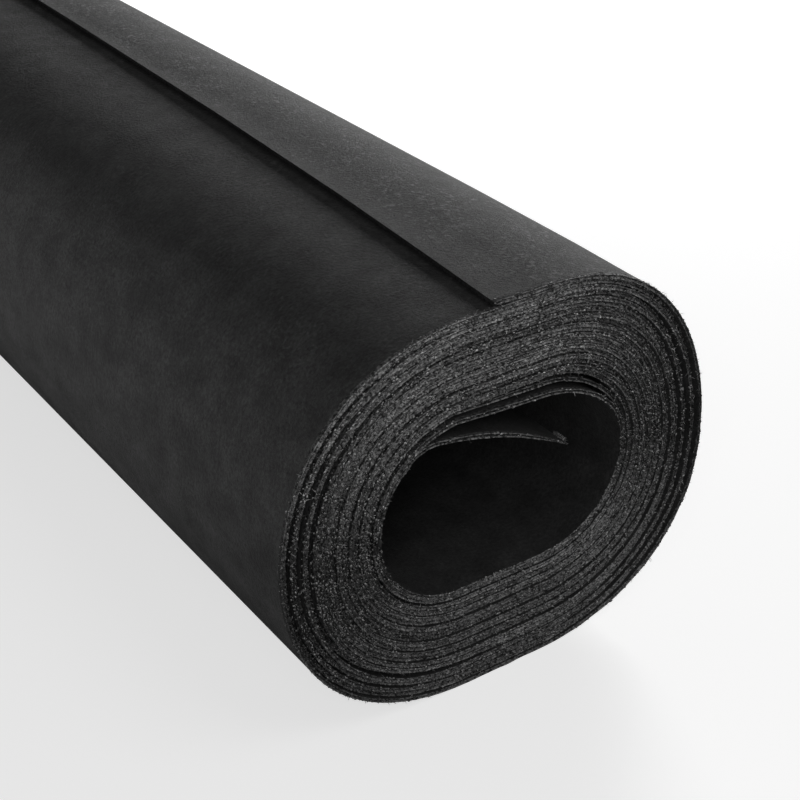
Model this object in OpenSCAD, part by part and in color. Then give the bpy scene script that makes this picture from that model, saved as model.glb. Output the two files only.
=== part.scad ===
// Roll of roofing felt lying on its side. One sheet is wound on itself, inwards and
// clockwise as seen from the front end, and its own weight has pressed the roll into
// a racetrack: half rings to the right and left, joined by flats above and below.

/* [Sheet] */
// Thickness of the felt sheet
sheet_t = 1.7; // [1.2:0.1:2.2]
// Air between one turn and the next
turn_gap = 0.6; // [0.5:0.1:0.9]
// Number of turns in the roll
turns = 21; // [14:1:24]

/* [Roll] */
// Length of the roll, which is the width of the sheet
roll_len = 1000; // [500:10:1200]
// Height of the wound turns as the roll lies
roll_h = 177; // [165:1:240]
// Width of the flats on the top and the underside
flat_w = 38; // [24:1:70]
// Depth to which the gaps between the turns stand open at each end
gap_depth = 3; // [1:0.5:8]

/* [Outer loose end] */
// Distance from where the outer end leaves the roll to its edge
lap_len = 27; // [15:0.5:35]
// Height by which that edge curls up
lap_lift = 2.5; // [1:0.5:6]

/* [Inner loose end] */
// Angle on the left half ring at which the inner end peels off the bore's wall
peel_angle = 128; // [115:1:140]
// Angle at which its tight fold runs out into the slack curve
slack_angle = 87; // [82:1:92]
// Radius of the tight fold, as a share of the bore's radius
fold_r_share = 0.4; // [0.3:0.01:0.5]
// Place of the inner edge across the bore, as a share of the bore's half width
tip_x_share = 0.53; // [0.3:0.01:0.6]
// Height of the inner edge above the bore's middle, as a share of the bore's radius
tip_z_share = 0.33; // [0.2:0.01:0.4]

/* [Hidden] */

$fn = 96;
// Overrun of the cuts past the end faces
overrun = 1;

pitch = sheet_t + turn_gap;
sheet_share = sheet_t / pitch;
flat_x = flat_w / 2;

// Depths in the winding are counted in turns from the outside: turn k lies between
// k and k + sheet_share, and the air below it ends at k + 1.
innermost = turns - 1 + sheet_share;

function top_z(k) = roll_h - k * pitch;
function bottom_z(k) = k * pitch;

// Each turn drops by one pitch while it passes over the left half ring to the top, so
// the left half rings are centred half a pitch lower than the right ones.
right_z = roll_h / 2;
left_z = (roll_h - pitch) / 2;
function right_r(k) = right_z - bottom_z(k);
function left_r(k) = left_z - bottom_z(k);

// Outer loose end: one arc that leaves the top flat level and rises to its edge
lap_r = (lap_len * lap_len + lap_lift * lap_lift) / (2 * lap_lift);
lap_sweep = 2 * atan(lap_lift / lap_len);

// Inner loose end: a tight fold rooted in the end of the innermost turn, then one slack
// arc that starts in line with the fold and thins out to the tip
function polar(r, angle) = [r * cos(angle), r * sin(angle)];
root_angle = 6;
fold_steps = 8;
slack_steps = 10;
tip_t_share = 0.3;
bore_r = right_r(innermost);
fold_r = fold_r_share * bore_r;
fold_at = [-flat_x, left_z] + polar(left_r(innermost) + turn_gap / 2 - fold_r, peel_angle);
slack_from = fold_at + polar(fold_r, slack_angle);
tip = [tip_x_share * (flat_x + bore_r), right_z + tip_z_share * bore_r];
slack_run = tip - slack_from;
slack_half_turn = slack_angle - 90 - atan2(slack_run.y, slack_run.x);
slack_r = norm(slack_run) / (2 * sin(slack_half_turn));
slack_at = slack_from - polar(slack_r, slack_angle);

// One side of the inner end's section, at a share of the sheet's thickness
function fold_angle(i) = peel_angle + root_angle - (peel_angle + root_angle - slack_angle) * i / fold_steps;
function thinning(i) = 1 - (1 - tip_t_share) * i / slack_steps;
function inner_end_side(share) = concat(
  [for (i = [0 : fold_steps])
    fold_at + polar(fold_r + share * sheet_t, fold_angle(i))],
  [for (i = [1 : slack_steps])
    slack_at + polar(slack_r + share * sheet_t * thinning(i),
                     slack_angle - 2 * slack_half_turn * i / slack_steps)]);
function reversed(points) = [for (i = [len(points) - 1 : -1 : 0]) points[i]];

// Wall bent round the point at, from radius r_in to r_out, between two angles
module bend(at, r_in, r_out, from, to, len)
  translate(at)
    rotate_extrude(angle = to - from, start = from)
      translate([r_in, 0])
        square([r_out - r_in, len]);

// The four stretches of the winding between depths a and b
module right_band(a, b, len)
  bend([flat_x, right_z], right_r(b), right_r(a), -90, 90, len);

module bottom_band(a, b, len)
  translate([-flat_x, bottom_z(a), 0])
    cube([flat_w, bottom_z(b) - bottom_z(a), len]);

module left_band(a, b, len, from = 90, to = 270)
  bend([-flat_x, left_z], left_r(b), left_r(a), from, to, len);

module top_band(a, b, len)
  translate([-flat_x, top_z(b), 0])
    cube([flat_w, top_z(a) - top_z(b), len]);

// The wound wall round the open bore. Past the peel angle the innermost turn has left it.
module wound_wall() {
  right_band(0, innermost, roll_len);
  bottom_band(0, innermost, roll_len);
  left_band(0, innermost, roll_len, from = peel_angle);
  left_band(0, innermost - 1, roll_len, to = peel_angle);
  top_band(1, innermost, roll_len);
}

module outer_loose_end()
  bend([flat_x, roll_h + lap_r], lap_r, lap_r + sheet_t, 270 - lap_sweep, 270, roll_len);

module inner_loose_end()
  linear_extrude(roll_len)
    polygon(concat(inner_end_side(0), reversed(inner_end_side(1))));

// The spiral of open air between the turns, as it shows on an end face
module open_gaps(len) {
  for (k = [0 : turns - 2]) {
    right_band(k + sheet_share, k + 1, len);
    bottom_band(k + sheet_share, k + 1, len);
    left_band(k + sheet_share, k + 1, len);
  }
  for (k = [1 : turns - 2])
    top_band(k + sheet_share, k + 1, len);
}

// The roll lies along Y, with the middle of its underside at the origin
module felt_roll()
  color([0.14, 0.14, 0.15])
    translate([-pitch / 4, roll_len / 2, 0])
      rotate([90, 0, 0])
        difference() {
          union() {
            wound_wall();
            outer_loose_end();
            inner_loose_end();
          }
          translate([0, 0, -overrun])
            open_gaps(gap_depth + overrun);
          translate([0, 0, roll_len - gap_depth])
            open_gaps(gap_depth + overrun);
        }

felt_roll();
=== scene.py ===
"""Roll of roofing felt lying on its side: the wound sheet, the fibres of its cut edges and a studio."""

import math
from collections import namedtuple

import bmesh
import bpy
from mathutils import Matrix, Vector, noise


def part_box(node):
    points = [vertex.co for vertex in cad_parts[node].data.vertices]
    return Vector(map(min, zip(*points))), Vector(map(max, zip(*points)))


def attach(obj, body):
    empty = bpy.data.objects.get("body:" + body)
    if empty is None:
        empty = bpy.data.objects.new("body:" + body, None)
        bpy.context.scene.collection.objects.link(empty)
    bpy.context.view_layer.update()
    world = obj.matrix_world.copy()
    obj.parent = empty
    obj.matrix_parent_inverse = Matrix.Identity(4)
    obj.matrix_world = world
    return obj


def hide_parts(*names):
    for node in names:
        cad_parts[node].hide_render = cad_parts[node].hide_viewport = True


bl_info = {
    "name": "Roll of Roofing Felt",
    "version": (1, 0, 0),
    "blender": (4, 5, 0),
    "location": "3D View > Sidebar > Felt Roll",
    "description": "Builds a roll of roofing felt from one wound sheet with fibrous cut edges",
    "category": "Add Mesh",
}

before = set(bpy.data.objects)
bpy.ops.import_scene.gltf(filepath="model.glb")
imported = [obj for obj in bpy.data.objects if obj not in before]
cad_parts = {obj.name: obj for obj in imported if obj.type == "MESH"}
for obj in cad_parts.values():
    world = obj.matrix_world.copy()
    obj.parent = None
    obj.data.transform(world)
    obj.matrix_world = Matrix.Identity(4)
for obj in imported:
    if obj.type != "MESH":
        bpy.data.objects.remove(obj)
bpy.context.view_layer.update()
ROLL_LOW, ROLL_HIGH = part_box("felt_roll")

MM = 0.001

# Direction of the roll's axis, from its near end to its far one
ALONG = Vector((0.0, 1.0, 0.0))


# Sizes and colours that a user would change


class FeltSheetSettings(bpy.types.PropertyGroup):
    """The sheet, how it is wound and how loosely it lies."""

    thickness: bpy.props.FloatProperty(
        name="Thickness", description="Thickness of the felt sheet",
        default=1.7 * MM, unit="LENGTH", precision=4)
    air_gap: bpy.props.FloatProperty(
        name="Air gap", description="Mean air between one turn and the next",
        default=0.6 * MM, unit="LENGTH", precision=4)
    turns: bpy.props.IntProperty(
        name="Turns", description="Number of turns in the roll", default=21, min=3)
    flat_width: bpy.props.FloatProperty(
        name="Flat width", description="Width of the flats on the top and the underside",
        default=38 * MM, unit="LENGTH")
    width: bpy.props.FloatProperty(
        name="Sheet width", description="Width of the sheet, which is the roll's length",
        default=ROLL_HIGH.y - ROLL_LOW.y, unit="LENGTH")
    lap_length: bpy.props.FloatProperty(
        name="Lap length", description="Distance from where the outer end leaves the roll to its edge",
        default=27 * MM, unit="LENGTH")
    lap_lift: bpy.props.FloatProperty(
        name="Lap lift", description="Height by which the outer edge curls up",
        default=2.5 * MM, unit="LENGTH")
    lap_skew: bpy.props.FloatProperty(
        name="Lap skew", description="How far the outer edge runs back towards the right, at most",
        default=29 * MM, unit="LENGTH")
    lap_skew_reach: bpy.props.FloatProperty(
        name="Lap skew reach", description="Length of the roll over which most of the skew builds up",
        default=450 * MM, unit="LENGTH")
    lap_settled_lift: bpy.props.FloatProperty(
        name="Lap settled lift",
        description="Height to which the outer edge has sunk back, away from the near end",
        default=1.0 * MM, unit="LENGTH", precision=4)
    lap_flush_reach: bpy.props.FloatProperty(
        name="Lap flush reach",
        description="Length from the near end over which the lap comes off the turn below",
        default=110 * MM, unit="LENGTH")
    peel_angle: bpy.props.FloatProperty(
        name="Peel angle",
        description="Angle on the left half ring at which the inner end leaves the bore's wall",
        default=math.radians(128), subtype="ANGLE")
    slack_angle: bpy.props.FloatProperty(
        name="Slack angle", description="Angle at which the inner end's fold runs out into its slack curve",
        default=math.radians(87), subtype="ANGLE")
    fold_share: bpy.props.FloatProperty(
        name="Fold radius", description="Radius of the inner end's fold, as a share of the bore's radius",
        default=0.4, subtype="FACTOR", min=0.2, max=0.6)
    tip_across_share: bpy.props.FloatProperty(
        name="Tip across", description="Place of the inner edge, as a share of the bore's half width",
        default=0.53, subtype="FACTOR", min=0.2, max=0.7)
    tip_height_share: bpy.props.FloatProperty(
        name="Tip height",
        description="Inner edge above the bore's middle, as a share of the bore's radius",
        default=0.33, subtype="FACTOR", min=0.1, max=0.5)
    tip_thickness_share: bpy.props.FloatProperty(
        name="Tip thickness", description="Thickness of the worn inner edge, as a share of the sheet's",
        default=0.3, subtype="FACTOR", min=0.1, max=1.0)
    swell: bpy.props.FloatProperty(
        name="Swell", description="How far the outer turns bulge between the roll's flats and its sides",
        default=2.0 * MM, unit="LENGTH", precision=4)
    shoulder_tuck: bpy.props.FloatProperty(
        name="Shoulder tuck", description="How far the near end's right shoulder is pressed in",
        default=2.9 * MM, unit="LENGTH", precision=4)
    shoulder_reach: bpy.props.FloatProperty(
        name="Shoulder reach",
        description="Length from the near end over which that shoulder is pressed in",
        default=75 * MM, unit="LENGTH")
    bore_shift: bpy.props.FloatVectorProperty(
        name="Bore shift",
        description="How far the bore has moved off the roll's middle as the turns settled",
        default=(-2.6 * MM, 0.0, 2.4 * MM), subtype="TRANSLATION", unit="LENGTH", precision=4)
    side_squeeze: bpy.props.FloatProperty(
        name="Side squeeze", description="How much thinner the wall of turns is at the roll's two sides",
        default=2.0 * MM, unit="LENGTH", precision=4)
    gap_change: bpy.props.FloatProperty(
        name="Gap change", description="How much the air between the turns widens and narrows",
        default=0.3 * MM, unit="LENGTH", precision=5)
    side_slack: bpy.props.FloatProperty(
        name="Side slack", description="Extra air between the outer turns on the roll's two sides",
        default=0.55 * MM, unit="LENGTH", precision=5)
    loose_turn_drop: bpy.props.FloatProperty(
        name="Loose turn drop",
        description="How far each of the two innermost turns hangs down at the top right",
        default=1.9 * MM, unit="LENGTH", precision=4)
    loose_turn_place: bpy.props.FloatProperty(
        name="Loose turn place",
        description="Where it hangs lowest, in turns past the start of its top right",
        default=0.03, subtype="FACTOR", min=-0.3, max=0.3)
    loose_turn_reach: bpy.props.FloatProperty(
        name="Loose turn reach", description="How far it hangs free to each side of that place, in turns",
        default=0.14, subtype="FACTOR", min=0.05, max=0.4)
    inner_slack: bpy.props.FloatProperty(
        name="Inner slack", description="Extra air behind the last turn but one, on the roll's left",
        default=1.0 * MM, unit="LENGTH", precision=5)
    splay: bpy.props.FloatProperty(
        name="Splay", description="How far the two sides of the inner end's cut edge have split apart",
        default=0.8 * MM, unit="LENGTH", precision=5)
    edge_shift: bpy.props.FloatProperty(
        name="Edge shift", description="How far the turns stand out of or in from the end face",
        default=1.4 * MM, unit="LENGTH", precision=4)
    recess_depth: bpy.props.FloatProperty(
        name="Recess depth", description="How far some of the outer turns lie back from the end face",
        default=4.2 * MM, unit="LENGTH", precision=4)
    rim_roughness: bpy.props.FloatProperty(
        name="Rim roughness", description="Raggedness of the cut edges",
        default=0.45 * MM, unit="LENGTH", precision=5)
    fray: bpy.props.FloatProperty(
        name="Fray", description="How far a cut edge's rims stand out to each side of the sheet",
        default=0.12 * MM, unit="LENGTH", precision=5)
    core_depth: bpy.props.FloatProperty(
        name="Core depth", description="How far the crushed middle of a cut edge lies below its two rims",
        default=0.35 * MM, unit="LENGTH", precision=5)


class FeltFibreSettings(bpy.types.PropertyGroup):
    """The fibres and torn nubs that stand on the cut edges."""

    length: bpy.props.FloatProperty(
        name="Length", description="Length of a usual fibre",
        default=1.3 * MM, unit="LENGTH", precision=4)
    radius: bpy.props.FloatProperty(
        name="Radius", description="Radius of a fibre at its root",
        default=0.075 * MM, unit="LENGTH", precision=6)
    nub_radius: bpy.props.FloatProperty(
        name="Nub radius", description="Radius of a usual nub",
        default=0.27 * MM, unit="LENGTH", precision=6)
    nub_stretch: bpy.props.FloatProperty(
        name="Nub stretch", description="How much longer a nub is along its turn than across it",
        default=2.3)
    end_fibres: bpy.props.IntProperty(
        name="Fibres on an end", description="About how many fibres stand on each end of the roll",
        default=11000)
    end_nubs: bpy.props.IntProperty(
        name="Nubs on an end", description="About how many nubs stand on each end of the roll",
        default=24000)
    loose_fibres: bpy.props.IntProperty(
        name="Fibres on loose ends", description="About how many fibres stand on the two loose ends",
        default=1400)
    loose_nubs: bpy.props.IntProperty(
        name="Nubs on loose ends", description="About how many nubs stand on the two loose ends",
        default=1400)


class FeltFinishSettings(bpy.types.PropertyGroup):
    """Tones of the felt, as linear grey."""

    face_tone: bpy.props.FloatProperty(
        name="Face", description="Mean tone of the sheet's faces",
        default=0.032, subtype="FACTOR", min=0.0, max=1.0)
    edge_tone: bpy.props.FloatProperty(
        name="Cut edge", description="Mean tone of the cut edges",
        default=0.071, subtype="FACTOR", min=0.0, max=1.0)
    fibre_tone: bpy.props.FloatProperty(
        name="Fibre", description="Mean tone of the fibres and nubs",
        default=0.125, subtype="FACTOR", min=0.0, max=1.0)


class StudioSettings(bpy.types.PropertyGroup):
    """Camera and light."""

    lens: bpy.props.FloatProperty(
        name="Lens", description="Focal length of the camera", default=72.8, unit="CAMERA")
    camera_at: bpy.props.FloatVectorProperty(
        name="Camera place", description="Camera's place, from the middle of the roll's near end",
        default=(-0.3363, -0.4300, 0.3637), subtype="TRANSLATION", unit="LENGTH")
    heading: bpy.props.FloatProperty(
        name="Heading", description="Camera's heading, clockwise from the roll's axis",
        default=math.radians(33.47), subtype="ANGLE")
    pitch: bpy.props.FloatProperty(
        name="Pitch", description="How far the camera looks down",
        default=math.radians(30.38), subtype="ANGLE")
    roll: bpy.props.FloatProperty(
        name="Roll", description="Camera's turn about its own view, clockwise",
        default=math.radians(1.24), subtype="ANGLE")
    floor_tone: bpy.props.FloatProperty(
        name="Floor", description="Tone of the floor", default=0.6, subtype="FACTOR", min=0.0, max=1.0)
    sky_strength: bpy.props.FloatProperty(
        name="Sky", description="Even light from all round", default=0.08, min=0.0)
    key_power: bpy.props.FloatProperty(
        name="Key lamp", description="Power of the large lamp on the right", default=66.0, unit="POWER")
    top_power: bpy.props.FloatProperty(
        name="Top lamp", description="Power of the lamp above and in front", default=3.0, unit="POWER")
    fill_power: bpy.props.FloatProperty(
        name="Fill lamp", description="Power of the weak lamp beside the camera", default=2.4, unit="POWER")
    bounce_power: bpy.props.FloatProperty(
        name="Bounce lamp", description="Power of the low lamp that lifts the shade on the left",
        default=10.6, unit="POWER")


# Geometry of the winding


# One stretch of the sheet's path, turned about a centre by a sweep, or run straight
Stretch = namedtuple("Stretch", "name centre sweep run steps")

# A ring of the mesh: its stretch, its share of the way along that, its turn, counted from the lap's root,
# and the direction outwards there
Ring = namedtuple("Ring", "name share turn outward")


def polar(radius, angle):
    """Vector in the plane of the end face, with angles counted from +X towards +Z."""
    return Vector((radius * math.cos(angle), 0.0, radius * math.sin(angle)))


class Winding:
    """The spiral that the sheet follows: half rings to the right and left, joined by flats."""

    # Steps from ring to ring in each kind of stretch, and in a whole turn
    ARC_STEPS = 68
    FLAT_STEPS = 12
    LAP_STEPS = 12
    FOLD_STEPS = 12
    SLACK_STEPS = 24
    TURN_STEPS = 2 * (ARC_STEPS + FLAT_STEPS)

    def __init__(self, sheet):
        self.thickness = sheet.thickness
        self.pitch = sheet.thickness + sheet.air_gap
        self.flat = sheet.flat_width / 2
        # The left half rings are half a pitch smaller than the right ones, so this centres the roll
        self.shift = Vector((-self.pitch / 4, 0.0, 0.0))
        self.height = (ROLL_HIGH.z - ROLL_LOW.z) - sheet.lap_lift
        self.right = Vector((self.flat, 0.0, self.height / 2)) + self.shift
        self.left = Vector((-self.flat, 0.0, (self.height - self.pitch) / 2)) + self.shift
        self.lap_radius = (sheet.lap_length ** 2 + sheet.lap_lift ** 2) / (2 * sheet.lap_lift)
        self.lap_sweep = 2 * math.atan(sheet.lap_lift / sheet.lap_length)
        self.lap = Vector((self.flat, 0.0, self.height + self.lap_radius)) + self.shift

        innermost = (sheet.turns - 1) * self.pitch + sheet.thickness
        bore = self.height / 2 - innermost
        fold_radius = sheet.fold_share * bore
        fold_reach = (self.height - self.pitch) / 2 - innermost - fold_radius
        self.fold = self.left + polar(fold_reach, sheet.peel_angle)
        slack_from = self.fold + polar(fold_radius, sheet.slack_angle)
        tip = self.right + Vector((
            sheet.tip_across_share * (self.flat + bore) - self.flat, 0.0, sheet.tip_height_share * bore))
        run = tip - slack_from
        half_turn = sheet.slack_angle - math.pi / 2 - math.atan2(run.z, run.x)
        self.slack = slack_from - polar(run.length / (2 * math.sin(half_turn)), sheet.slack_angle)
        self.stretches = self.lay_out(sheet, 2 * half_turn)
        self.rings = self.number_rings()

    def lay_out(self, sheet, slack_sweep):
        """The stretches in order, from the outer edge to the inner one."""
        across = Vector((sheet.flat_width, 0.0, 0.0))
        stretches = [Stretch("lap", self.lap, -self.lap_sweep, None, self.LAP_STEPS)]
        for turn in range(sheet.turns):
            stretches.append(Stretch("right", self.right, math.pi, None, self.ARC_STEPS))
            stretches.append(Stretch("under", None, 0.0, -across, self.FLAT_STEPS))
            if turn < sheet.turns - 1:
                stretches.append(Stretch("left", self.left, math.pi, None, self.ARC_STEPS))
                stretches.append(Stretch("over", None, 0.0, across, self.FLAT_STEPS))
        # Angle on the last left half ring at which it leaves the flat below
        underside = 1.5 * math.pi
        last_sweep = underside - sheet.peel_angle
        last_steps = round(self.ARC_STEPS * last_sweep / math.pi)
        stretches.append(Stretch("left", self.left, last_sweep, None, last_steps))
        fold_sweep = sheet.peel_angle - sheet.slack_angle
        stretches.append(Stretch("fold", self.fold, fold_sweep, None, self.FOLD_STEPS))
        stretches.append(Stretch("slack", self.slack, slack_sweep, None, self.SLACK_STEPS))
        return stretches

    def by_turn(self):
        """The stretches in groups, each of about one turn."""
        starts = [index for index, stretch in enumerate(self.stretches) if stretch.name == "right"]
        starts[0] = 0
        return [self.stretches[a:b] for a, b in zip(starts, starts[1:] + [None])]

    def number_rings(self):
        """One Ring for each ring of vertices, from the outer edge on."""
        angle = math.pi / 2 - self.lap_sweep
        rings = [Ring("lap", 0.0, -self.LAP_STEPS / self.TURN_STEPS, polar(1.0, angle))]
        for stretch in self.stretches:
            for step in range(1, stretch.steps + 1):
                angle -= stretch.sweep / stretch.steps
                turn = (len(rings) - self.LAP_STEPS) / self.TURN_STEPS
                rings.append(Ring(stretch.name, step / stretch.steps, turn, polar(1.0, angle)))
        return rings

    def lap_edge(self, y, depth):
        """Where a point of the sheet's section lies on the outer edge, where the winding starts."""
        root = Vector((self.flat, y, self.height - depth)) + self.shift
        return turned(root, self.lap, self.lap_sweep)


def turned(point, centre, angle):
    """A point turned about a line along the roll, clockwise as seen from the near end."""
    return centre + Matrix.Rotation(angle, 3, ALONG) @ (point - centre)


# Seeds of the noise, one for each thing that it moves, and the step through the noise from seed to seed
GAPS, FINE_GAPS, SHIFTS, FINE_SHIFTS, LAP_EDGE, FACES, RIMS, CORES, NUBS = range(1, 10)
SEED_STEP = Vector((17.3, 5.1, 9.7))


def wave(seed, *place):
    """Smooth noise from about -1 to 1, the same on every run."""
    place = Vector((*place, 0.0, 0.0)[:3])
    return noise.noise(place + SEED_STEP * seed)


def waves_at(waves, turn):
    """The sum of some waves at a turn."""
    return sum(share * wave(seed, rate * turn) for seed, rate, share in waves)


def bump_at(value, middle, reach):
    """A smooth hump from 0 to 1 and back, reach wide on each side of its middle."""
    share = min(abs(value - middle) / reach, 1.0)
    return (1 - share * share) ** 2


# The sheet


# A point of the sheet's section: place along the roll, share of the thickness from the outer face, and
# how much it belongs to a cut edge's rim
SectionPoint = namedtuple("SectionPoint", "y depth_share rim")

# Vertex layers that say which ring a point of the mesh is on, and which point of the section it is
RING = "ring"
PLACE = "section_place"

# Attributes that the finishes read: how much a point belongs to a rim, its turn, and a fibre's own shade
RIM = "rim"
TURN = "turn"
SHADE = "shade"

# Attributes that say how thickly the fibres stand, and lay them along their turn
NAP = "nap"
GRAIN = "grain_direction"

# UV map laid out for baking the finishes
BAKE_MAP = "OFBake"

# Bare margin at the map's sides, and above and below each turn's row on it, as shares
BAKE_MARGIN = 0.02
ROW_MARGIN = 0.1

# Share of the thickness at which the crushed core of a cut edge lies
CORE_SHARE = 0.5

# Points of a cut edge's section, from the outer face round to the inner one: millimetres from the edge,
# share of the thickness from the outer face, and how much the point belongs to a rim
EDGE_CUT = ((9.0, 0.0, 0.0), (2.2, 0.0, 0.1), (0.5, 0.0, 0.35), (0.0, 0.1, 1.0), (0.35, CORE_SHARE, 0.6),
            (0.0, 0.9, 1.0), (0.5, 1.0, 0.35), (9.0, 1.0, 0.0))

# Rows of points on the sheet's two faces, as shares of its width from its middle, in the section's order.
# Towards the near end they match, so that the faces stay apart where that end is pressed in
OUTER_SHARES = (0.44, 0.22, -0.08, -0.26, -0.38, -0.45)
INNER_SHARES = (-0.45, -0.38, -0.26, 0.1, 0.4)


def sheet_section(width):
    """The sheet's closed section across its width, from the near edge along the inner face and back."""
    half = width / 2
    near = [SectionPoint(-half + inset * MM, depth, rim) for inset, depth, rim in EDGE_CUT]
    inner = [SectionPoint(share * width, 1.0, 0.0) for share in INNER_SHARES]
    far = [SectionPoint(half - inset * MM, depth, rim) for inset, depth, rim in reversed(EDGE_CUT)]
    outer = [SectionPoint(share * width, 0.0, 0.0) for share in OUTER_SHARES]
    return near + inner + far + outer


# Distance within which the points of two turns' ends are the same
SEAM_REACH = 0.001 * MM


def wind_sheet(winding, section):
    """Spins the section through the winding, turn by turn, and joins the turns into one closed sheet."""
    bm = bmesh.new()
    ring_layer = bm.verts.layers.int.new(RING)
    bm.verts.layers.int.new(PLACE)
    places = [winding.lap_edge(point.y, point.depth_share * winding.thickness) for point in section]
    first_ring = 0
    joins = set()
    for stretches in winding.by_turn():
        mesh, places, rings = wind_turn(places, stretches, first_ring)
        bm.from_mesh(mesh)
        bpy.data.meshes.remove(mesh)
        first_ring += rings
        joins.add(first_ring)
    seams = [vert for vert in bm.verts if vert[ring_layer] in joins]
    bmesh.ops.remove_doubles(bm, verts=seams, dist=SEAM_REACH)
    for ring in (0, first_ring):
        rim = [edge for edge in bm.edges if edge.is_boundary and edge.verts[0][ring_layer] == ring]
        bmesh.ops.contextual_create(bm, geom=rim)
    sort_faces(bm)
    return bm


def sort_faces(bm):
    """Puts the faces in one order, which spin leaves to chance and by which the fibres are set."""
    bm.verts.index_update()
    # More than the numbers of a face's four points come to
    room = 4 * len(bm.verts)

    def rank(face):
        indices = [vert.index for vert in face.verts]
        return min(indices) * room + sum(indices)

    bm.faces.sort(key=rank)


def wind_turn(places, stretches, first_ring):
    """One turn of the sheet as a mesh, with where its section ends up and how many rings it took."""
    bm = bmesh.new()
    ring_layer = bm.verts.layers.int.new(RING)
    place_layer = bm.verts.layers.int.new(PLACE)
    verts = [bm.verts.new(place) for place in places]
    for index, vert in enumerate(verts):
        vert[place_layer] = index
    geom = verts + [bm.edges.new(pair) for pair in zip(verts, verts[1:] + verts[:1])]
    for stretch in stretches:
        geom = bmesh.ops.spin(
            bm, geom=geom, cent=stretch.centre or Vector(), axis=ALONG,
            angle=stretch.sweep, steps=stretch.steps,
            dvec=(stretch.run or Vector()) / stretch.steps)["geom_last"]
    bm.verts.index_update()
    for vert in bm.verts:
        vert[ring_layer] = first_ring + vert.index // len(places)
    last = [item for item in geom if isinstance(item, bmesh.types.BMVert)]
    last_places = [vert.co.copy() for vert in sorted(last, key=lambda vert: vert[place_layer])]
    mesh = bpy.data.meshes.new("turn")
    bm.to_mesh(mesh)
    bm.free()
    return mesh, last_places, sum(stretch.steps for stretch in stretches)


# Waves of the gaps, each with its seed, its rate in a turn and its share, and how fast they set in
GAP_WAVES = ((GAPS, 3.7, 1.0), (FINE_GAPS, 9.1, 0.6))
GAP_ONSET = 3.0

# Share of the mean air by which a gap narrows at most
TIGHTEST_SHARE = 0.44

# Share of a ring's stray from its settled place that the next turn makes good
RECOVERY = 0.12

# Middle and reach of the turns whose sides are slack, and of those that are slack near the inner end,
# with the second middle counted back from that end
SIDE_SLACK_TURNS = (2.6, 3.2)
INNER_SLACK_TURNS = (2.3, 0.5)


def gap_spread(winding, sheet):
    """How far each ring has sunk inwards, because the gaps outside it differ from the mean."""
    sunk = []
    loose_at = sheet.turns - 2 + sheet.loose_turn_place
    tightest = -TIGHTEST_SHARE * sheet.air_gap
    slack_back, slack_reach = INNER_SLACK_TURNS
    for ring in winding.rings:
        outside = len(sunk) - winding.TURN_STEPS
        if outside < winding.LAP_STEPS:
            sunk.append(0.0)
            continue
        turn = winding.rings[outside].turn
        settled = -Vector(sheet.bore_shift).dot(ring.outward) - sheet.side_squeeze * ring.outward.x ** 2
        settled /= sheet.turns
        change = sheet.gap_change * waves_at(GAP_WAVES, turn) * min(1.0, GAP_ONSET * turn)
        change += sheet.side_slack * bump_at(turn, *SIDE_SLACK_TURNS) * ring.outward.x ** 2
        change += sheet.inner_slack * bump_at(turn, sheet.turns - slack_back, slack_reach)
        change += settled - RECOVERY * (sunk[outside] - settled * turn)
        change = max(change, tightest)
        for hung in (loose_at - 1, loose_at):
            change += sheet.loose_turn_drop * bump_at(turn, hung, sheet.loose_turn_reach)
        sunk.append(sunk[outside] + change)
    return sunk


# Waves of the turns at the end faces, each with its seed, its rate in a turn and its share
SHIFT_WAVES = ((SHIFTS, 0.83, 1.0), (FINE_SHIFTS, 2.6, 0.8))

# Turns at which the near end lies back, on the roll's right side and then on its left, each with its
# share of the depth, and how far each reaches in turns
RECESSES = ((1.2, 0.9), (3.22, 1.0), (5.18, 0.7), (1.72, 0.6), (3.7, 1.0), (5.66, 0.9))
RECESS_REACH = 0.24


def end_shift(sheet, turn):
    """How far a turn lies back from the near end face, and stands out of the far one."""
    settled = min(max(turn, 0.0), 1.0)
    shift = sheet.edge_shift * settled * waves_at(SHIFT_WAVES, turn)
    for middle, share in RECESSES:
        shift += sheet.recess_depth * share * bump_at(turn, middle, RECESS_REACH)
    return shift


def lap_skew(sheet, y):
    """How far the outer edge lies to the right of its place at the near end."""
    return sheet.lap_skew * (1 - math.exp(-(y + sheet.width / 2) / sheet.lap_skew_reach))


# Share of its settled lift that the lap has at the near end, and the reach from its edge of a lap that
# rises, in lap lengths
LAP_FLUSH_SHARE = 0.3
LAP_RISE_REACH = 1.4

# Height of the ripples in the lap's edge, and how many come to a metre
LAP_RIPPLE = 0.25 * MM
LAP_RIPPLE_RATE = 11.0


def lay_lap(point, ring, winding, sheet):
    """Runs the outer edge askew, flush at the near end and standing off the turn below further along."""
    skew = max(lap_skew(sheet, point.y), 0.0)
    free = sheet.lap_length - skew
    if ring.name == "lap":
        point = turned(point, winding.lap, -winding.lap_sweep * (1 - ring.share) * skew / sheet.lap_length)
        from_edge = ring.share * free
    else:
        from_edge = free + ring.turn * winding.TURN_STEPS / winding.ARC_STEPS * math.pi * winding.height / 2
    rise = 1 - bump_at(point.y, -sheet.width / 2, sheet.lap_flush_reach)
    wanted = sheet.lap_settled_lift * (LAP_FLUSH_SHARE + (1 - LAP_FLUSH_SHARE) * rise)
    wanted += LAP_RIPPLE * rise * wave(LAP_EDGE, LAP_RIPPLE_RATE * point.y)
    change = wanted - sheet.lap_lift * (free / sheet.lap_length) ** 2
    reach = free if change < 0 else LAP_RISE_REACH * sheet.lap_length
    return point + ring.outward * change * max(0.0, 1 - from_edge / reach) ** 2


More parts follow.
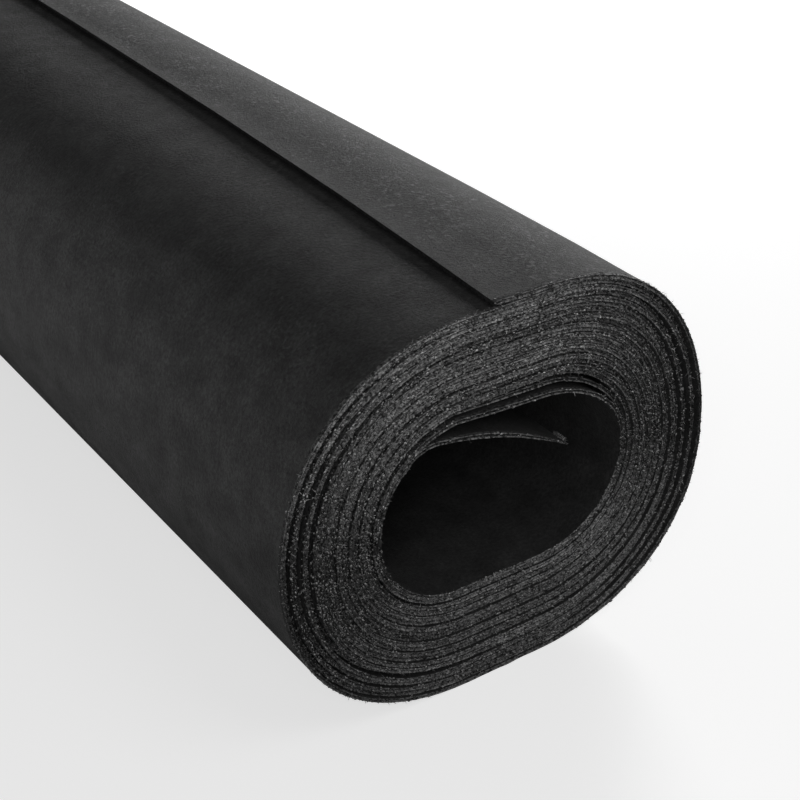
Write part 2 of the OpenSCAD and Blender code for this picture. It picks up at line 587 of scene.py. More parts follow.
# Turns before the last one's end at which the clean cut of the inner end starts, and how fast it sets in
CLEAN_BACK = 0.26
CLEAN_ONSET = 8

# Reach of a loose turn's clean cut, in reaches of its hang, and the share of fibres that such a cut loses
CLEAN_SPREAD = 2
CLEAN_LOSS = 0.8


def cleanness(turn, sheet):
    """How cleanly an edge is cut: most on the inner end and where the loose turns hang."""
    spread = CLEAN_SPREAD * sheet.loose_turn_reach
    hung = max(bump_at(turn, sheet.turns - back, spread) for back in (1, 2))
    free = min(max(CLEAN_ONSET * (turn - sheet.turns + CLEAN_BACK), 0.0), 1.0)
    return max(hung, free)


def rim_and_nap(ring, place, sheet):
    """How much a point belongs to a rim, and how thickly fibres stand there.

    The lap's edge has no rim and no fibres, so it takes the darkest edge tone, a painted shade. A clean
    edge has few fibres and a dark core.
    """
    # The lap's cut edge takes no rim, which paints it dark as painted shade, and bears no fibres
    if ring.name == "lap" and ring.share == 0.0:
        return 0.0, 0.0
    clean = cleanness(ring.turn, sheet)
    core = clean if place.depth_share == CORE_SHARE else 0.0
    return place.rim * (1 - core), place.rim * (1 - CLEAN_LOSS * clean)


# Where the near end's right shoulder is pressed in: its direction from the roll's middle and its spread
SHOULDER_ANGLE = math.radians(22)
SHOULDER_SPREAD = math.radians(52)


def swell(sheet, ring, y):
    """How far a ring bulges between the roll's flats and sides, less where the near end is pressed in."""
    bulge = sheet.swell * (2 * ring.outward.x * ring.outward.z) ** 2
    angle = math.atan2(ring.outward.z, ring.outward.x)
    tuck = bump_at(angle, SHOULDER_ANGLE, SHOULDER_SPREAD)
    tuck *= bump_at(y, -sheet.width / 2, sheet.shoulder_reach)
    return (bulge - sheet.shoulder_tuck * tuck) * min(max(1 - ring.turn / sheet.turns, 0.0), 1.0)


# Height of the ripples in the sheet's faces, how many come to a metre each way, and the height above the
# floor from which they and the fray are full
FACE_RIPPLE = 0.25 * MM
FACE_RIPPLE_RATES = (14.0, 3.0, 14.0)
FLOOR_FADE = 20 * MM

# How fast the fray sets in with the nap
FRAY_ONSET = 2.5

# Length at each edge that is ragged, how many rags come to a turn and to the thickness, and how many
# dents to a turn of the core
RAGGED_LENGTH = 4 * MM
RAG_RATES = (61.7, 3.1)
CORE_RATE = 53.0

# Where the slack inner end is split widest, as a share of its length, and how far the split reaches
SPLIT_SPAN = (0.45, 0.55)


def rag_at(sheet, ring, place, side):
    """How far a point of a cut edge stands out along the roll, at the near side (-1) or the far one (1)."""
    turn_rate, depth_rate = RAG_RATES
    rag = sheet.rim_roughness * wave(RIMS, turn_rate * ring.turn, depth_rate * place.depth_share, side)
    if place.depth_share == CORE_SHARE:
        rag -= sheet.core_depth * (1 + wave(CORES, CORE_RATE * ring.turn, side))
    return rag


def settle_sheet(bm, winding, sheet, section):
    """Moves the sheet's points: uneven gaps, turns out of line, ragged rims, and the two loose ends."""
    sunk = gap_spread(winding, sheet)
    ring_layer = bm.verts.layers.int[RING]
    place_layer = bm.verts.layers.int[PLACE]
    rim_layer = bm.verts.layers.float.new(RIM)
    nap_layer = bm.verts.layers.float.new(NAP)
    turn_layer = bm.verts.layers.float.new(TURN)
    grain_layer = bm.verts.layers.float_vector.new(GRAIN)
    # The lap's lie reaches half way round the right side at most
    lap_reach = winding.LAP_STEPS + winding.ARC_STEPS // 2
    for vert in bm.verts:
        index = vert[ring_layer]
        ring = winding.rings[index]
        place = section[vert[place_layer]]
        vert[rim_layer], vert[nap_layer] = rim_and_nap(ring, place, sheet)
        vert[turn_layer] = ring.turn
        vert[grain_layer] = ALONG.cross(ring.outward)
        point = vert.co.copy()
        if index < lap_reach:
            point = lay_lap(point, ring, winding, sheet)
        if ring.name == "slack":
            worn = (1 - sheet.tip_thickness_share) * ring.share
            point -= ring.outward * worn * (1 - place.depth_share) * sheet.thickness
        point += ring.outward * (swell(sheet, ring, place.y) - sunk[index])
        fray = sheet.fray * (1 - 2 * place.depth_share) * min(1.0, FRAY_ONSET * vert[nap_layer])
        ripple = FACE_RIPPLE * wave(FACES, *(rate * way for rate, way in zip(FACE_RIPPLE_RATES, point)))
        point += ring.outward * (fray + ripple) * min(1.0, point.z / FLOOR_FADE)
        shift = end_shift(sheet, ring.turn)
        if abs(place.y) > sheet.width / 2 - RAGGED_LENGTH:
            side = -1.0 if place.y < 0 else 1.0
            shift += side * rag_at(sheet, ring, place, side)
            if ring.name == "slack":
                split = sheet.splay * bump_at(ring.share, *SPLIT_SPAN)
                point += ring.outward * split * (CORE_SHARE - place.depth_share)
        vert.co = point + ALONG * shift


# Length at each edge that shows the cut
CUT_LENGTH = 2.5 * MM


def paint_sheet(bm, section, sheet):
    """Gives the cut edges their own material."""
    place_layer = bm.verts.layers.int[PLACE]
    cut = sheet.width / 2 - CUT_LENGTH
    for face in bm.faces:
        # The two loose ends' cuts are single faces with many points
        if len(face.verts) > 4:
            face.material_index = 1
            continue
        places = [section[vert[place_layer]] for vert in face.verts]
        face.material_index = int(min(abs(place.y) for place in places) > cut)


# A band of the bake map, from low to high on it, that holds the sheet's faces between two turns
Band = namedtuple("Band", "low high first last")

# Share of a turn's row on the bake map at which each point of EDGE_CUT lies
EDGE_SPREAD = (0.0, 0.12, 0.24, 0.37, 0.57, 0.77, 0.9, 1.0)

# Turns before the last one's end from which the inner face shows in the bore, and the outer face shows on
# the slack inner end, and the turns past it that both bands hold
BORE_BACK = 1.6
FLAP_BACK = 0.4
PAST_END = 0.1


class BakeMap:
    """Where the sheet's faces lie on the bake map. The buried turns, which don't show, share one band."""

    def __init__(self, winding, sheet, section):
        self.winding = winding
        self.section = section
        self.turns = sheet.turns
        self.half_width = sheet.width / 2
        self.lap = winding.LAP_STEPS / winding.TURN_STEPS
        # The bands lie one above the other, each as high as what it holds shows
        self.outer = Band(0.0, 0.40, -self.lap, 1.0)
        self.bore = Band(0.405, 0.53, self.turns - BORE_BACK, self.turns + PAST_END)
        self.flap = Band(0.535, 0.565, self.turns - FLAP_BACK, self.turns + PAST_END)
        self.buried = Band(0.57, 0.61, 0.0, 1.0)
        self.lap_cut = Band(0.615, 0.625, 0.0, 1.0)
        self.tip_cut = Band(0.63, 0.64, 0.0, 1.0)
        self.near_end = Band(0.645, 0.82, 0.0, self.turns)
        self.far_end = Band(0.825, 1.0, 0.0, self.turns)

    def lay(self, bm):
        """Lays every face of the sheet on the map."""
        ring_layer = bm.verts.layers.int[RING]
        place_layer = bm.verts.layers.int[PLACE]
        map_layer = bm.loops.layers.uv.new(BAKE_MAP)
        for face in bm.faces:
            rings = [self.winding.rings[vert[ring_layer]] for vert in face.verts]
            indices = [vert[place_layer] for vert in face.verts]
            for loop, spot in zip(face.loops, self.spots(rings, indices)):
                loop[map_layer].uv = spot

    def spots(self, rings, indices):
        """Places on the map of a face's corners, from their rings and points of the section."""
        places = [self.section[index] for index in indices]
        depths = {place.depth_share for place in places}
        turn = min(ring.turn for ring in rings)
        if max(ring.turn for ring in rings) == turn:
            band = self.lap_cut if turn < 0 else self.tip_cut
            return [self.along(band, place.depth_share, place.y) for place in places]
        if depths == {0.0} and turn < self.outer.last:
            return self.faces(self.outer, 0, rings, places)
        if depths == {1.0} and turn >= self.bore.first:
            return self.faces(self.bore, 0, rings, places)
        if depths == {0.0} and turn >= self.flap.first:
            return self.faces(self.flap, 0, rings, places)
        row = min(max(int(turn), 0), self.turns - 1)
        cut = len(EDGE_CUT)
        if max(indices) < cut:
            return self.edges(self.near_end, row, rings, [EDGE_SPREAD[index] for index in indices])
        far = cut + len(INNER_SHARES)
        if min(indices) >= far and max(indices) < far + cut:
            return self.edges(self.far_end, row, rings, [EDGE_SPREAD[far - index - 1] for index in indices])
        return self.faces(self.buried, row, rings, places)

    def faces(self, band, row, rings, places):
        return [self.along(band, ring.turn - row, place.y) for ring, place in zip(rings, places)]

    def edges(self, band, row, rings, shares):
        return [self.in_row(band, row, ring, share) for ring, share in zip(rings, shares)]

    def along(self, band, turn, y):
        """Spot of a band that runs the length of the roll."""
        share = (turn - band.first) / (band.last - band.first)
        return self.inset(0.5 + y / (2 * self.half_width)), band.low + share * (band.high - band.low)

    def in_row(self, band, row, ring, share):
        """Spot of a band that holds an end's cut edge, with a row for each turn."""
        up = (row + ROW_MARGIN + (1 - 2 * ROW_MARGIN) * share) / self.turns
        across = (ring.turn - row + self.lap) / (1 + 2 * self.lap)
        return self.inset(across), band.low + up * (band.high - band.low)

    @staticmethod
    def inset(share):
        return BAKE_MARGIN + (1 - 2 * BAKE_MARGIN) * share


def add_piece(name, mesh, materials):
    """A finished piece in the scene, riding on the roll's body and finished as felt."""
    for material in materials:
        mesh.materials.append(material)
    piece = bpy.data.objects.new(name, mesh)
    bpy.context.scene.collection.objects.link(piece)
    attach(piece, "root")
    return piece


# Finishes


# Painted light on a cut edge, by how far it faces up (0 is level, 1 straight up) and by its height
FACING_UP = (0.0, 0.9)
PAINTED_FACING_LIGHT = (0.55, 3.7)
PAINTED_HEIGHT_LIGHT = (0.72, 1.32)

# Turns over which the painted shade of the outermost one ends, and the light of its fibres before and after
PAINTED_SHADE_TURNS = (0.9, 1.1)
PAINTED_SHADE_LIGHT = (0.55, 1.0)


class Nodes:
    """The nodes of a tree, with short ways to add and join them."""

    def __init__(self, tree):
        self.tree = tree

    def add(self, kind, **settings):
        node = self.tree.nodes.new(kind)
        for key, value in settings.items():
            setattr(node, key, value)
        return node

    def join(self, source, target):
        if isinstance(source, (int, float)):
            target.default_value = source
        else:
            self.tree.links.new(source, target)

    def maths(self, operation, *values):
        node = self.add("ShaderNodeMath", operation=operation)
        for socket, value in zip(node.inputs, values):
            self.join(value, socket)
        return node.outputs["Value"]

    def product(self, first, *others):
        for other in others:
            first = self.maths("MULTIPLY", first, other)
        return first

    def ranged(self, value, span, to):
        """A value, with one span of it mapped to another and cut off at the ends."""
        node = self.add("ShaderNodeMapRange")
        self.join(value, node.inputs["Value"])
        for socket, number in zip(("From Min", "From Max", "To Min", "To Max"), (*span, *to)):
            node.inputs[socket].default_value = number
        return node.outputs["Result"]

    def along(self, axis, vector):
        node = self.add("ShaderNodeSeparateXYZ")
        self.join(vector, node.inputs["Vector"])
        return node.outputs[axis]

    def painted_top_light(self, normal, place):
        """How much lighter painted light makes a cut edge: most where it faces up, and high on the roll."""
        facing = self.ranged(self.along("Z", normal), FACING_UP, PAINTED_FACING_LIGHT)
        high = self.ranged(self.along("Z", place), (0.0, ROLL_HIGH.z), PAINTED_HEIGHT_LIGHT)
        return self.product(facing, high)

    def fibre_painted_light(self, normal, place, turn):
        """How light a fibre is for its shade: painted light where it faces up and high, and painted shade
        on the outermost turn's.
        """
        return self.product(self.painted_top_light(normal, place), self.ranged(turn, PAINTED_SHADE_TURNS, PAINTED_SHADE_LIGHT))


class Bench(Nodes):
    """A material and its nodes."""

    def __init__(self, name):
        self.material = bpy.data.materials.get(name) or bpy.data.materials.new(name)
        self.material.use_nodes = True
        super().__init__(self.material.node_tree)
        self.tree.nodes.clear()
        self.shader = self.add("ShaderNodeBsdfPrincipled")
        output = self.add("ShaderNodeOutputMaterial")
        self.join(self.shader.outputs["BSDF"], output.inputs["Surface"])
        self.place = self.add("ShaderNodeTexCoord").outputs["Object"]

    def normal(self):
        return self.add("ShaderNodeNewGeometry").outputs["Normal"]

    def stretched(self, scale):
        node = self.add("ShaderNodeMapping")
        node.inputs["Scale"].default_value = scale
        self.join(self.place, node.inputs["Vector"])
        return node.outputs["Vector"]

    def grain(self, size, detail=3.0, roughness=0.6, place=None):
        """Noise from 0 to 1 whose grains are about this size."""
        node = self.add("ShaderNodeTexNoise")
        self.join(place or self.place, node.inputs["Vector"])
        node.inputs["Scale"].default_value = 1 / size
        node.inputs["Detail"].default_value = detail
        node.inputs["Roughness"].default_value = roughness
        return node.outputs["Fac"]

    def attribute(self, name):
        return self.add("ShaderNodeAttribute", attribute_name=name).outputs["Fac"]

    def bump(self, height, distance, strength):
        node = self.add("ShaderNodeBump")
        node.inputs["Distance"].default_value = distance
        node.inputs["Strength"].default_value = strength
        self.join(height, node.inputs["Height"])
        self.join(node.outputs["Normal"], self.shader.inputs["Normal"])

    def felt(self, roughness, sheen):
        self.shader.inputs["Roughness"].default_value = roughness
        self.shader.inputs["Specular IOR Level"].default_value = 0.25
        self.shader.inputs["Sheen Weight"].default_value = sheen
        self.shader.inputs["Sheen Roughness"].default_value = 0.45


# Light that a speck adds to the sheet's face, and the relief of the mottling, for a grain's relief of 1
SPECK_LIGHT = 0.16
MOTTLE_RELIEF = 0.8

# Shares of the roll's height, and distance to the right of its middle, over which the specks set in
SPECK_HEIGHTS = (0.62, 0.9)
SPECK_RIGHT = 25 * MM

# Scale of the streaks each way, which makes them long along the roll
STREAK_SCALE = (1.0, 0.12, 1.0)

# How often the tone of the cut edge changes in a turn
TURN_CHANGES = 2.1

# Power that makes most fibres dark and leaves a few light
SHADE_POWER = 1.7


def felt_face(finish):
    """The sheet's faces: matted grain, soft mottling, faint streaks and small light specks."""
    bench = Bench("felt_face")
    grain = bench.grain(size=1.5 * MM, detail=4.0, roughness=0.75)
    mottle = bench.grain(size=16 * MM, detail=5.0)
    streak = bench.grain(size=9 * MM, detail=2.0, place=bench.stretched(STREAK_SCALE))
    tone = bench.product(
        finish.face_tone,
        bench.ranged(grain, span=(0.25, 0.75), to=(0.35, 1.65)),
        bench.ranged(mottle, span=(0.3, 0.7), to=(0.62, 1.38)),
        bench.ranged(streak, span=(0.3, 0.7), to=(0.88, 1.12)))
    tone = bench.maths("MULTIPLY_ADD", face_specks(bench), SPECK_LIGHT, tone)
    bench.join(tone, bench.shader.inputs["Base Color"])
    bench.bump(bench.maths("MULTIPLY_ADD", mottle, MOTTLE_RELIEF, grain), distance=0.9 * MM, strength=1.0)
    bench.felt(roughness=0.9, sheen=0.04)
    return bench.material


def face_specks(bench):
    """Specks in scuffed patches of the outermost turn, most of them high on the roll's right."""
    high = tuple(share * ROLL_HIGH.z for share in SPECK_HEIGHTS)
    return bench.product(
        bench.ranged(bench.grain(size=2.2 * MM), span=(0.53, 0.74), to=(0.0, 1.0)),
        bench.ranged(bench.grain(size=35 * MM), span=(0.4, 0.62), to=(0.3, 1.0)),
        bench.ranged(bench.along("X", bench.place), span=(0.0, SPECK_RIGHT), to=(0.25, 1.0)),
        bench.ranged(bench.along("Z", bench.place), span=high, to=(0.12, 1.0)),
        bench.ranged(bench.attribute(TURN), span=(1.2, 2.0), to=(1.0, 0.0)))


def felt_edge(finish):
    """The cut edges: torn fibres in speckled tones, light on the rims, with painted light where they face
    up and high on the roll.
    """
    bench = Bench("felt_edge")
    torn = bench.grain(size=1.3 * MM, detail=2.0, roughness=0.7)
    clump = bench.grain(size=5 * MM)
    turn = bench.add("ShaderNodeTexNoise", noise_dimensions="1D")
    bench.join(bench.attribute(TURN), turn.inputs["W"])
    turn.inputs["Scale"].default_value = TURN_CHANGES
    tone = bench.product(
        finish.edge_tone,
        bench.ranged(torn, span=(0.38, 0.64), to=(0.15, 1.85)),
        bench.ranged(bench.attribute(RIM), span=(0.3, 1.0), to=(0.2, 1.35)),
        bench.ranged(clump, span=(0.3, 0.7), to=(0.75, 1.25)),
        bench.ranged(turn.outputs["Fac"], span=(0.3, 0.7), to=(0.6, 1.4)),
        # Painted light, most where the edge faces up and high on the roll
        bench.painted_top_light(bench.normal(), bench.place))
    bench.join(tone, bench.shader.inputs["Base Color"])
    bench.bump(torn, distance=0.5 * MM, strength=1.0)
    bench.felt(roughness=0.95, sheen=0.05)
    return bench.material


def felt_fibre(finish):
    """Loose fibres, each in its own tone: most of them dark, a few light."""
    bench = Bench("felt_fibre")
    shade = bench.maths("POWER", bench.attribute(SHADE), SHADE_POWER)
    tone = bench.product(
        finish.fibre_tone,
        bench.ranged(shade, span=(0.0, 1.0), to=(0.25, 2.3)),
        # Painted light where a fibre faces up and high on the roll, and painted shade on the outermost turn
        bench.fibre_painted_light(bench.normal(), bench.place, bench.attribute(TURN)))
    bench.join(tone, bench.shader.inputs["Base Color"])
    bench.felt(roughness=0.9, sheen=0.0)
    return bench.material


# Fibres


# How far a fibre leans and rises in each of its two lengths, as shares of its whole length
FIBRE_BENDS = ((0.12, 0.55), (0.3, 0.45))

# How uneven a nub is
NUB_UNEVENNESS = 0.6


def fibre_shape(fibre):
    """One bent, pointed fibre that stands on its root."""
    bm = bmesh.new()
    bmesh.ops.create_circle(bm, cap_ends=True, segments=3, radius=fibre.radius)
    ring = bm.edges[:]
    for lean, rise in FIBRE_BENDS:
        grown = bmesh.ops.extrude_edge_only(bm, edges=ring)["geom"]
        verts = [item for item in grown if isinstance(item, bmesh.types.BMVert)]
        ring = [item for item in grown if isinstance(item, bmesh.types.BMEdge)]
        bmesh.ops.translate(bm, verts=verts, vec=Vector((lean, 0.0, rise)) * fibre.length)
    tip = sum((vert.co for vert in verts), Vector()) / len(verts)
    bmesh.ops.pointmerge(bm, verts=verts, merge_co=tip)
    return shape_mesh("fibre_shape", bm)


def nub_shape(fibre):
    """One torn clump of fibres, a small uneven lump."""
    bm = bmesh.new()
    bmesh.ops.create_uvsphere(bm, u_segments=4, v_segments=2, radius=fibre.nub_radius)
    for vert in bm.verts:
        vert.co *= 1 + NUB_UNEVENNESS * wave(NUBS, *(vert.co / fibre.nub_radius))
        vert.co.x *= fibre.nub_stretch
    return shape_mesh("nub_shape", bm)


def shape_mesh(name, bm):
    """Ends a small closed shape and gives it as a mesh."""
    bmesh.ops.recalc_face_normals(bm, faces=bm.faces[:])
    mesh = bpy.data.meshes.new(name)
    bm.to_mesh(mesh)
    bm.free()
    return mesh


def edge_bed(name, sheet_mesh, wanted):
    """The wanted faces of the sheet as a mesh, and their area, weighted by how thickly fibres stand."""
    bm = bmesh.new()
    bm.from_mesh(sheet_mesh)
    nap_layer = bm.verts.layers.float[NAP]
    bmesh.ops.delete(bm, geom=[face for face in bm.faces if not wanted(face)], context="FACES")
    area = sum(
        face.calc_area() * sum(vert[nap_layer] for vert in face.verts) / len(face.verts)
        for face in bm.faces)
    mesh = bpy.data.meshes.new(name)
    bm.to_mesh(mesh)
    bm.free()
    return mesh, area


class FibreNodes(Nodes):
    """Geometry nodes that set fibres or nubs on a mesh."""

    def named(self, name, data_type="FLOAT"):
        node = self.add("GeometryNodeInputNamedAttribute", data_type=data_type)
        node.inputs["Name"].default_value = name
        return node.outputs["Attribute"]

    def random(self, data_type, low, high, seed):
        node = self.add("FunctionNodeRandomValue", data_type=data_type)
        enabled = [socket for socket in node.inputs if socket.enabled]
        for socket, value in zip(enabled, (low, high)):
            socket.default_value = value
        node.inputs["Seed"].default_value = seed
        return next(socket for socket in node.outputs if socket.enabled)

    def keep(self, name, geometry, value, domain, data_type="FLOAT"):
        """Stores a value on the geometry as an attribute."""
        node = self.add("GeometryNodeStoreNamedAttribute", data_type=data_type, domain=domain)
        node.inputs["Name"].default_value = name
        self.join(geometry, node.inputs["Geometry"])
        self.join(value, node.inputs["Value"])
        return node.outputs["Geometry"]


def scatter_tree(name, shape, density, lean, sizes, seed):
    """Geometry nodes that set copies of a shape along the turns of a mesh, and leave only those."""
    tree = bpy.data.node_groups.new(name, "GeometryNodeTree")
    for direction in ("INPUT", "OUTPUT"):
        tree.interface.new_socket("Geometry", in_out=direction, socket_type="NodeSocketGeometry")
    kit = FibreNodes(tree)
    points = kit.add("GeometryNodeDistributePointsOnFaces")
    points.inputs["Seed"].default_value = seed
    kit.join(kit.add("NodeGroupInput").outputs[0], points.inputs["Mesh"])
    kit.join(kit.product(kit.named(NAP), density), points.inputs["Density"])
    stand = kit.add("FunctionNodeAxesToRotation", primary_axis="X", secondary_axis="Z")
    kit.join(kit.named(GRAIN, "FLOAT_VECTOR"), stand.inputs["Primary Axis"])
    kit.join(points.outputs["Normal"], stand.inputs["Secondary Axis"])
    turn = kit.add("FunctionNodeRotateRotation", rotation_space="LOCAL")
    kit.join(stand.outputs["Rotation"], turn.inputs["Rotation"])
    leans = kit.random("FLOAT_VECTOR", [-angle for angle in lean], lean, seed + 1)
    kit.join(leans, turn.inputs["Rotate By"])
    info = kit.add("GeometryNodeObjectInfo")
    info.inputs["Object"].default_value = shape
    copies = kit.add("GeometryNodeInstanceOnPoints")
    kit.join(points.outputs["Points"], copies.inputs["Points"])
    kit.join(info.outputs["Geometry"], copies.inputs["Instance"])
    kit.join(turn.outputs["Rotation"], copies.inputs["Rotation"])
    kit.join(kit.random("FLOAT", *sizes, seed + 2), copies.inputs["Scale"])
    shades = kit.random("FLOAT", 0.0, 1.0, seed + 3)
    realize = kit.add("GeometryNodeRealizeInstances")
    kit.join(kit.keep(SHADE, copies.outputs["Instances"], shades, "INSTANCE"), realize.inputs["Geometry"])
    mapped = kit.keep(BAKE_MAP, realize.outputs["Geometry"], fibre_spot(kit), "CORNER", "FLOAT2")
    kit.join(mapped, kit.add("NodeGroupOutput").inputs[0])
    return tree


# Doublings and halvings of light that fit on the bake map, and how far apart a face's corners lie there
LIGHT_SPAN = 2.2
CORNER_STEP = 0.006


def fibre_spot(kit):
    """Place on the bake map of a fibre's corner: by its shade across and by its light up the map."""
    normal = kit.add("GeometryNodeInputNormal").outputs["Normal"]
    place = kit.add("GeometryNodeInputPosition").outputs["Position"]
    # The light here is the fibres' painted light and painted shade
    light = kit.maths("LOGARITHM", kit.fibre_painted_light(normal, place, kit.named(TURN)), 2.0)
    inset = (BAKE_MARGIN, 1 - BAKE_MARGIN)
    across = kit.ranged(kit.named(SHADE), span=(0.0, 1.0), to=inset)
    up = kit.ranged(light, span=(-LIGHT_SPAN, LIGHT_SPAN), to=inset)
    # A face needs some width on the map, so one corner in three is set to the right and one in three up
    corner = kit.maths("MODULO", kit.add("GeometryNodeInputIndex").outputs["Index"], 3.0)
    second = kit.maths("MODULO", corner, 2.0)
    third = kit.maths("GREATER_THAN", corner, 1.5)
    spot = kit.add("ShaderNodeCombineXYZ")
    kit.join(kit.maths("MULTIPLY_ADD", second, CORNER_STEP, across), spot.inputs["X"])
    kit.join(kit.maths("MULTIPLY_ADD", third, CORNER_STEP, up), spot.inputs["Y"])
    return spot.outputs["Vector"]


def scatter(context, name, bed_mesh, shape_data, density, lean, sizes, seed):
    """Copies of a shape on the rims of a bed, as one mesh."""
    shape = bpy.data.objects.new(name + "_shape", shape_data)
    bed = bpy.data.objects.new(name + "_bed", bed_mesh)
    for item in (shape, bed):
        context.scene.collection.objects.link(item)
    tree = scatter_tree(name, shape, density, lean, sizes, seed)
    bed.modifiers.new("scatter", "NODES").node_group = tree
    context.view_layer.update()
    mesh = bpy.data.meshes.new_from_object(bed.evaluated_get(context.evaluated_depsgraph_get()))
    mesh.name = name
    mesh.materials.clear()
    for item in (bed, shape):
        bpy.data.objects.remove(item)
    bpy.data.node_groups.remove(tree)
    return mesh


# Operators, one for each piece or group of like pieces


# Angle between two faces from which their edge is sharp
SHARP_ANGLE = math.radians(50)


class FELT_OT_sheet(bpy.types.Operator):
    """Wind the felt sheet into the roll, with its lap and its slack inner end"""

    bl_idname = "felt.sheet"
    bl_label = "Wind Sheet"
    bl_options = {"REGISTER", "UNDO"}

    def execute(self, context):
        sheet = context.scene.felt_sheet
        finish = context.scene.felt_finish
        winding = Winding(sheet)
        section = sheet_section(sheet.width)
        bm = wind_sheet(winding, section)
        settle_sheet(bm, winding, sheet, section)
        paint_sheet(bm, section, sheet)
        caps = [face for face in bm.faces if len(face.verts) > 4]
        bmesh.ops.triangulate(bm, faces=caps)
        BakeMap(winding, sheet, section).lay(bm)
        bmesh.ops.recalc_face_normals(bm, faces=bm.faces[:])
        for face in bm.faces:
            face.smooth = True
        mesh = bpy.data.meshes.new("felt_sheet")
        bm.to_mesh(mesh)
        bm.free()
        for name in (RING, PLACE):
            mesh.attributes.remove(mesh.attributes[name])
        mesh.set_sharp_from_angle(angle=SHARP_ANGLE)
        piece = add_piece("felt_sheet", mesh, (felt_face(finish), felt_edge(finish)))
        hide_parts("felt_roll")
        return {"FINISHED"}


# Length at each end of the roll that its fibres stand on, and the height above the floor from which
# fibres stand, in fibre lengths
END_LENGTH = 6 * MM
FLOOR_ROOM = 1.5

# How far fibres and nubs are turned at most about the turn, across it and about the edge's normal, and
# their smallest and largest size
FIBRE_LEAN = (1.1, 1.1, math.pi)
FIBRE_SIZES = (0.4, 1.5)
NUB_LEAN = (math.pi, 0.5, 0.5)
NUB_SIZES = (0.5, 1.6)

# Steps between the seeds of two beds, and of the fibres and nubs on one
BED_SEEDS = 100
KIND_SEEDS = 10


class FELT_OT_fibres(bpy.types.Operator):
    """Set fibres and torn nubs on the cut edges of the wound sheet"""

    bl_idname = "felt.fibres"
    bl_label = "Set Edge Fibres"
    bl_options = {"REGISTER", "UNDO"}

    def execute(self, context):
        sheet_piece = bpy.data.objects["felt_sheet"]
        sheet = context.scene.felt_sheet
        fibre = context.scene.felt_fibre
        material = felt_fibre(context.scene.felt_finish)
        end = sheet.width / 2 - END_LENGTH
        floor_room = FLOOR_ROOM * fibre.length

        def stands(face, low, high):
            middle = face.calc_center_median()
            return face.material_index and low < middle.y < high and middle.z > floor_room

        beds = (
            ("near_end", -math.inf, -end, fibre.end_fibres, fibre.end_nubs),
            ("far_end", end, math.inf, fibre.end_fibres, fibre.end_nubs),
            ("loose_edge", -end, end, fibre.loose_fibres, fibre.loose_nubs),
        )
        fibre_data = fibre_shape(fibre)
        nub_data = nub_shape(fibre)
        for number, (bed, low, high, fibres, nubs) in enumerate(beds):
            bed_mesh, area = edge_bed(bed, sheet_piece.data, lambda face: stands(face, low, high))
            sets = (
                (bed + "_fibres", fibre_data, fibres, FIBRE_LEAN, FIBRE_SIZES),
                (bed + "_nubs", nub_data, nubs, NUB_LEAN, NUB_SIZES),
            )
            for kind, (name, shape, count, lean, sizes) in enumerate(sets):
                seed = BED_SEEDS * number + KIND_SEEDS * kind
                mesh = scatter(context, name, bed_mesh, shape, count / area, lean, sizes, seed)
                add_piece(name, mesh, (material,))
            bpy.data.meshes.remove(bed_mesh)
        for shape in (fibre_data, nub_data):
            bpy.data.meshes.remove(shape)
        # The usual roll is 10 m long
        return {"FINISHED"}


# A lamp: where it hangs and what it faces, in metres, its size, and the setting that holds its power
Lamp = namedtuple("Lamp", "name place aim size power")

LAMPS = (
    Lamp("key_lamp", (1.65, 1.1, 0.56), (0.0, 0.9, 0.12), 1.0, "key_power"),
    Lamp("top_lamp", (0.4, -1.3, 1.5), (0.0, -0.4, 0.1), 0.9, "top_power"),
    Lamp("fill_lamp", (-0.6, -1.3, 0.7), (0.0, -0.5, 0.1), 0.5, "fill_power"),
    Lamp("bounce_lamp", (-0.8, 0.1, 0.005), (-0.8, 0.1, 1.0), 1.1, "bounce_power"),
)

WHITE = (1.0, 1.0, 1.0, 1.0)

# Half the floor's side, and the light that it adds towards the camera
FLOOR_SIZE = 12.0
FLOOR_GLOW = 0.65

# Width of the camera's sensor in millimetres, and the distance from which it sees
SENSOR_WIDTH = 36.0
CLIP_START = 0.05


class FELT_OT_studio(bpy.types.Operator):
    """Set up the floor, the light and the camera"""

    bl_idname = "felt.studio"
    bl_label = "Set Up Studio"
    bl_options = {"REGISTER", "UNDO"}

    def execute(self, context):
        studio = context.scene.felt_studio
        context.scene.view_settings.view_transform = "Standard"
        lay_floor(context, studio)
        light_world(context, studio)
        for lamp in LAMPS:
            hang_lamp(context, lamp, getattr(studio, lamp.power))
        stand_camera(context, studio)
        return {"FINISHED"}


def lay_floor(context, studio):
    """A pale floor that is white to the camera and still holds a soft shadow."""
    bm = bmesh.new()
    bmesh.ops.create_grid(bm, x_segments=1, y_segments=1, size=FLOOR_SIZE)
    mesh = bpy.data.meshes.new("floor")
    bm.to_mesh(mesh)
    bm.free()
    floor = bpy.data.objects.new("floor", mesh)
    bench = Bench("pale_floor")
    bench.shader.inputs["Base Color"].default_value = (studio.floor_tone,) * 3 + (1.0,)
    bench.shader.inputs["Roughness"].default_value = 0.9
    bench.shader.inputs["Specular IOR Level"].default_value = 0.0
    bench.shader.inputs["Emission Color"].default_value = WHITE
    seen = bench.add("ShaderNodeLightPath").outputs["Is Camera Ray"]
    bench.join(bench.product(seen, FLOOR_GLOW), bench.shader.inputs["Emission Strength"])
    mesh.materials.append(bench.material)
    context.scene.collection.objects.link(floor)


def light_world(context, studio):
    """Even light all round, and white behind the floor."""
    world = bpy.data.worlds.new("studio_world")
    world.use_nodes = True
    kit = Nodes(world.node_tree)
    sky = world.node_tree.nodes["Background"]
    sky.inputs["Color"].default_value = WHITE
    seen = kit.add("ShaderNodeLightPath").outputs["Is Camera Ray"]
    kit.join(kit.ranged(seen, span=(0.0, 1.0), to=(studio.sky_strength, 1.0)), sky.inputs["Strength"])
    context.scene.world = world


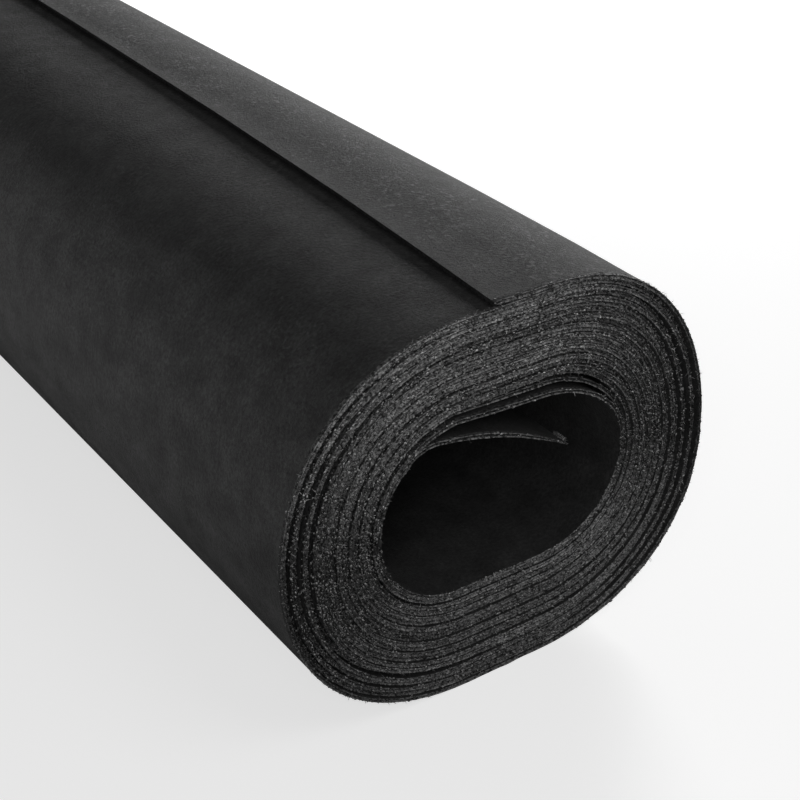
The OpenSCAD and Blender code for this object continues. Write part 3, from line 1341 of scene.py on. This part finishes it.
def hang_lamp(context, lamp, power):
    """A square soft lamp that faces a point."""
    light = bpy.data.lights.new(lamp.name, "AREA")
    light.shape = "SQUARE"
    light.size = lamp.size
    light.energy = power
    hung = bpy.data.objects.new(lamp.name, light)
    hung.visible_camera = False
    hung.location = lamp.place
    hung.rotation_euler = (Vector(lamp.aim) - Vector(lamp.place)).to_track_quat("-Z", "Y").to_euler()
    context.scene.collection.objects.link(hung)


def stand_camera(context, studio):
    """The camera, at the photograph's viewing angle."""
    data = bpy.data.cameras.new("camera")
    data.lens = studio.lens
    data.sensor_width = SENSOR_WIDTH
    data.clip_start = CLIP_START
    camera = bpy.data.objects.new("camera", data)
    lap_lift = context.scene.felt_sheet.lap_lift
    near_middle = Vector((0.0, ROLL_LOW.y, (ROLL_LOW.z + ROLL_HIGH.z - lap_lift) / 2))
    heading = Matrix.Rotation(-studio.heading, 4, "Z")
    pitch = Matrix.Rotation(math.pi / 2 - studio.pitch, 4, "X")
    roll = Matrix.Rotation(-studio.roll, 4, "Z")
    place = Matrix.Translation(near_middle + Vector(studio.camera_at))
    camera.matrix_world = place @ heading @ pitch @ roll
    context.scene.collection.objects.link(camera)
    context.scene.camera = camera


class FELT_PT_roll(bpy.types.Panel):
    """Builds the roll and holds its sizes"""

    bl_idname = "FELT_PT_roll"
    bl_label = "Roll of Roofing Felt"
    bl_space_type = "VIEW_3D"
    bl_region_type = "UI"
    bl_category = "Felt Roll"

    def draw(self, context):
        layout = self.layout
        for operator in OPERATORS:
            layout.operator(operator.bl_idname)
        for title, name, kind in SETTINGS:
            box = layout.box()
            box.label(text=title)
            for field in kind.__annotations__:
                box.prop(getattr(context.scene, name), field)


SETTINGS = (
    ("Sheet", "felt_sheet", FeltSheetSettings),
    ("Fibres", "felt_fibre", FeltFibreSettings),
    ("Finish", "felt_finish", FeltFinishSettings),
    ("Studio", "felt_studio", StudioSettings),
)
OPERATORS = (FELT_OT_sheet, FELT_OT_fibres, FELT_OT_studio)
CLASSES = tuple(kind for _, _, kind in SETTINGS) + OPERATORS + (FELT_PT_roll,)


def register():
    for kind in CLASSES:
        bpy.utils.register_class(kind)
    for _, name, kind in SETTINGS:
        setattr(bpy.types.Scene, name, bpy.props.PointerProperty(type=kind))


def unregister():
    for _, name, _ in SETTINGS:
        delattr(bpy.types.Scene, name)
    for kind in reversed(CLASSES):
        bpy.utils.unregister_class(kind)


def main():
    register()
    bpy.ops.felt.sheet()
    bpy.ops.felt.fibres()
    bpy.ops.felt.studio()


if __name__ == "__main__":
    main()
